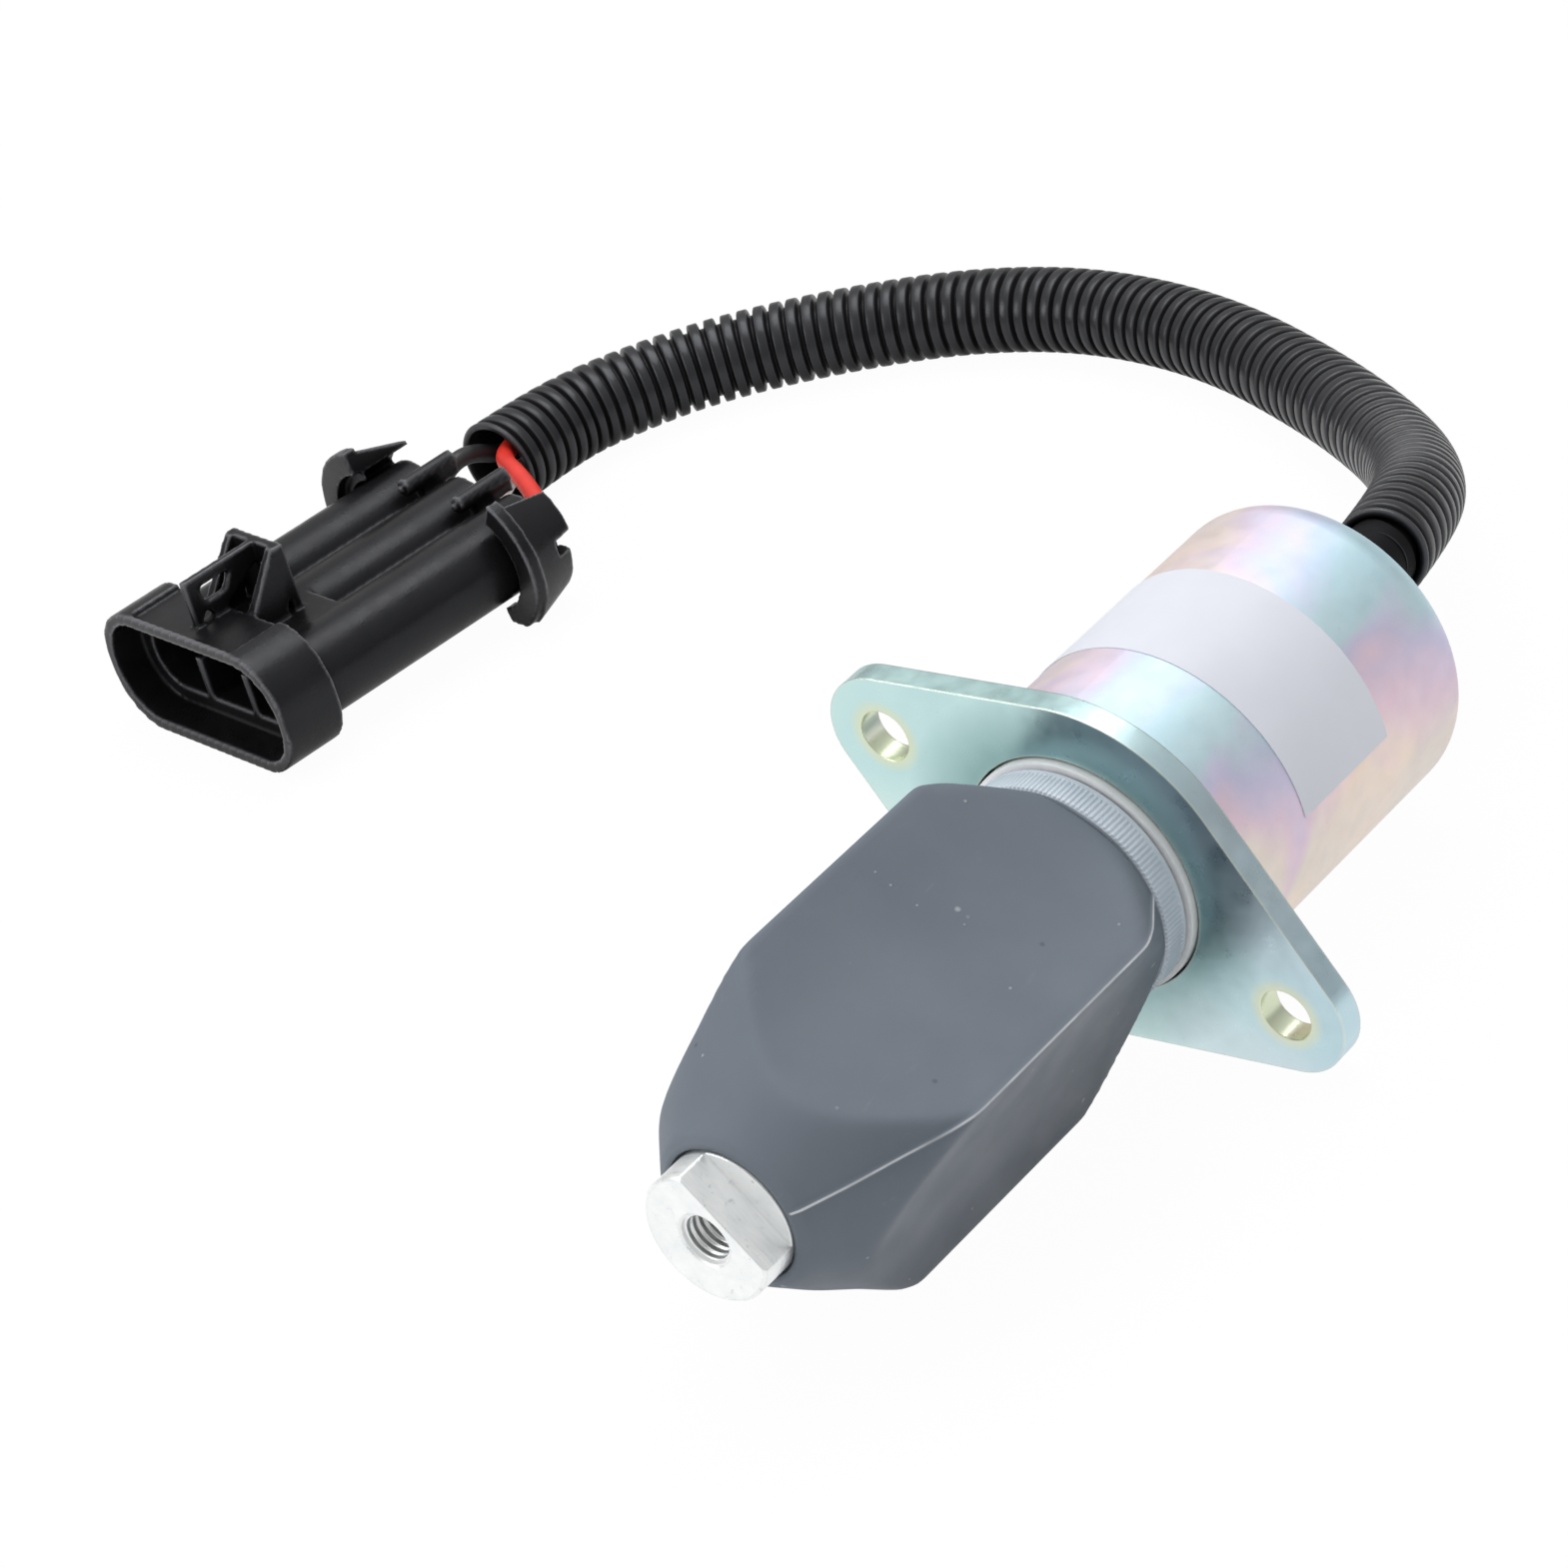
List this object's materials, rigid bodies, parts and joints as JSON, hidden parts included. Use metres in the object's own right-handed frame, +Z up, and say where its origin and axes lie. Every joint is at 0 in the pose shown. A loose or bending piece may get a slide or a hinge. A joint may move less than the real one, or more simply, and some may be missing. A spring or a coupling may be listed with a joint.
{
  "type": "fuel shutoff solenoid",
  "caption": "Pull solenoid with a two-hole flange, tapped plunger in a rubber boot, and a corrugated loom to a flat electrical connector.",
  "frame": {"origin": "centre of the mounting flange's front face, on the plunger's axis", "axes": "+X along the plunger towards its tapped end, +Z up with the part lying on its flange's straight side"},
  "size_m": [0.214, 0.2155, 0.0442],
  "materials": {
    "flange_zinc": "pale green zinc plate",
    "can_zinc": "pale iridescent zinc plate",
    "pole_steel": "turned steel",
    "brass": "drawn tube",
    "bobbin_plastic": "moulded glass-filled nylon",
    "enamel_wire": "enamelled copper wire",
    "tape": "polyester tape",
    "potting": "cast epoxy",
    "grommet_rubber": "moulded rubber",
    "label_film": "bare pale grey film",
    "plunger_steel": "bright zinc on turned steel",
    "spring_steel": "spring steel",
    "boot_rubber": "matt slate grey rubber",
    "tie_nylon": "natural nylon",
    "loom_plastic": "corrugated polyethylene",
    "red_insulation": "wire insulation",
    "white_insulation": "wire insulation",
    "black_insulation": "wire insulation",
    "connector_plastic": "satin moulded nylon",
    "tinned_brass": "tinned pins",
    "seal_silicone": "silicone"
  },
  "bodies": {
    "solenoid": {"mounting_flange": "flange_zinc", "can": "can_zinc", "front_pole": "pole_steel", "guide_tube": "brass", "bobbin": "bobbin_plastic", "pull_winding": "enamel_wire", "hold_winding": "enamel_wire", "winding_tape": "tape", "rear_pole": "pole_steel", "rear_potting": "potting", "rear_grommet": "grommet_rubber", "label": "label_film", "boot": "boot_rubber", "boot_tie": "tie_nylon", "return_spring": "spring_steel", "loom": "loom_plastic", "lead_red": "red_insulation", "lead_white": "white_insulation", "lead_black": "black_insulation", "connector_shell": "connector_plastic", "lock_clip_left": "connector_plastic", "lock_clip_right": "connector_plastic", "terminal_left": "tinned_brass", "terminal_mid": "tinned_brass", "terminal_right": "tinned_brass", "seal_left": "seal_silicone", "seal_mid": "seal_silicone", "seal_right": "seal_silicone"},
    "plunger": {"plunger": "plunger_steel", "spring_seat": "plunger_steel", "retaining_ring": "spring_steel"}
  },
  "joints": [
    {"name": "plunger_stroke", "type": "slide", "parent": "solenoid", "child": "plunger", "axis": [1, 0, 0], "range_m": [-0.025, 0], "stiffness_N_per_m": 400, "springref_m": 0.01, "deforming": ["return_spring", "boot"]}
  ]
}
